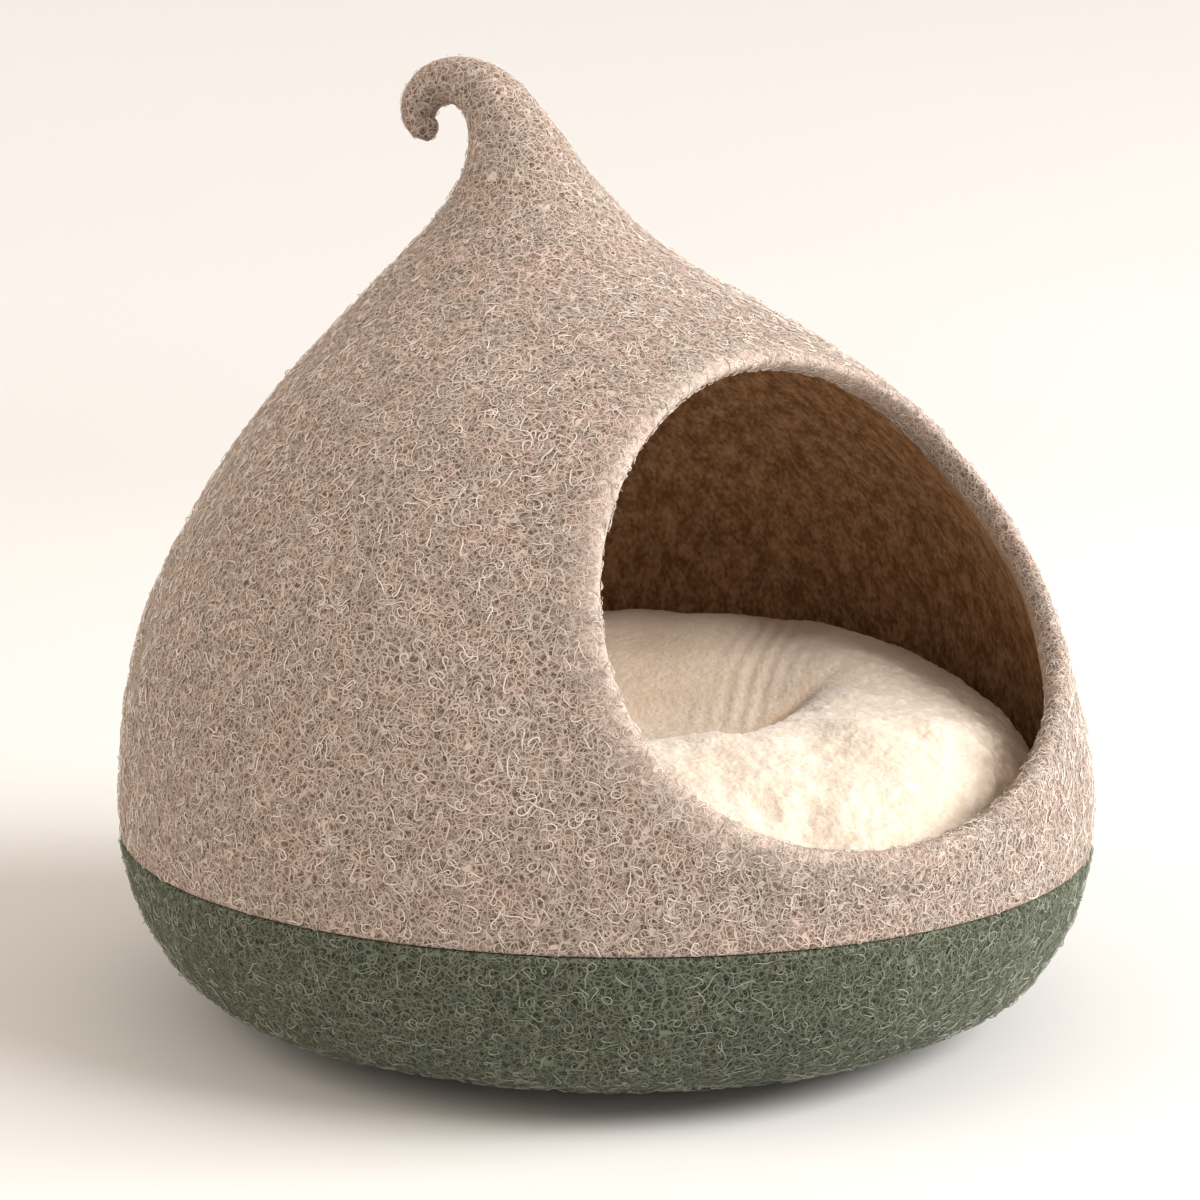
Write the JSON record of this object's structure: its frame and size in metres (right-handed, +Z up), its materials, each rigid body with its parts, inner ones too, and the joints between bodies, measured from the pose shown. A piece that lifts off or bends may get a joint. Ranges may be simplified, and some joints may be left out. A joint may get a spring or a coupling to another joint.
{
  "type": "felt cat cave",
  "caption": "Pear-shaped felt cave for a cat, with a curled tip, an oval side entrance, a rounded bowl base and a puffy round cushion inside.",
  "frame": {"origin": "middle of the flat foot, on the surface that the cave stands on", "axes": "+Z up, the entrance faces -Y, +X to the right of someone looking into the entrance"},
  "size_m": [0.4446, 0.4448, 0.429],
  "materials": {
    "taupe_felt": "thick matt wool felt with pale curly fibres",
    "green_felt": "thick matt wool felt, sage green",
    "cream_pile": "short nubby fleece pile"
  },
  "bodies": {
    "root": {"felt_dome": "taupe_felt", "felt_base": "green_felt", "cushion": "cream_pile"}
  },
  "joints": []
}
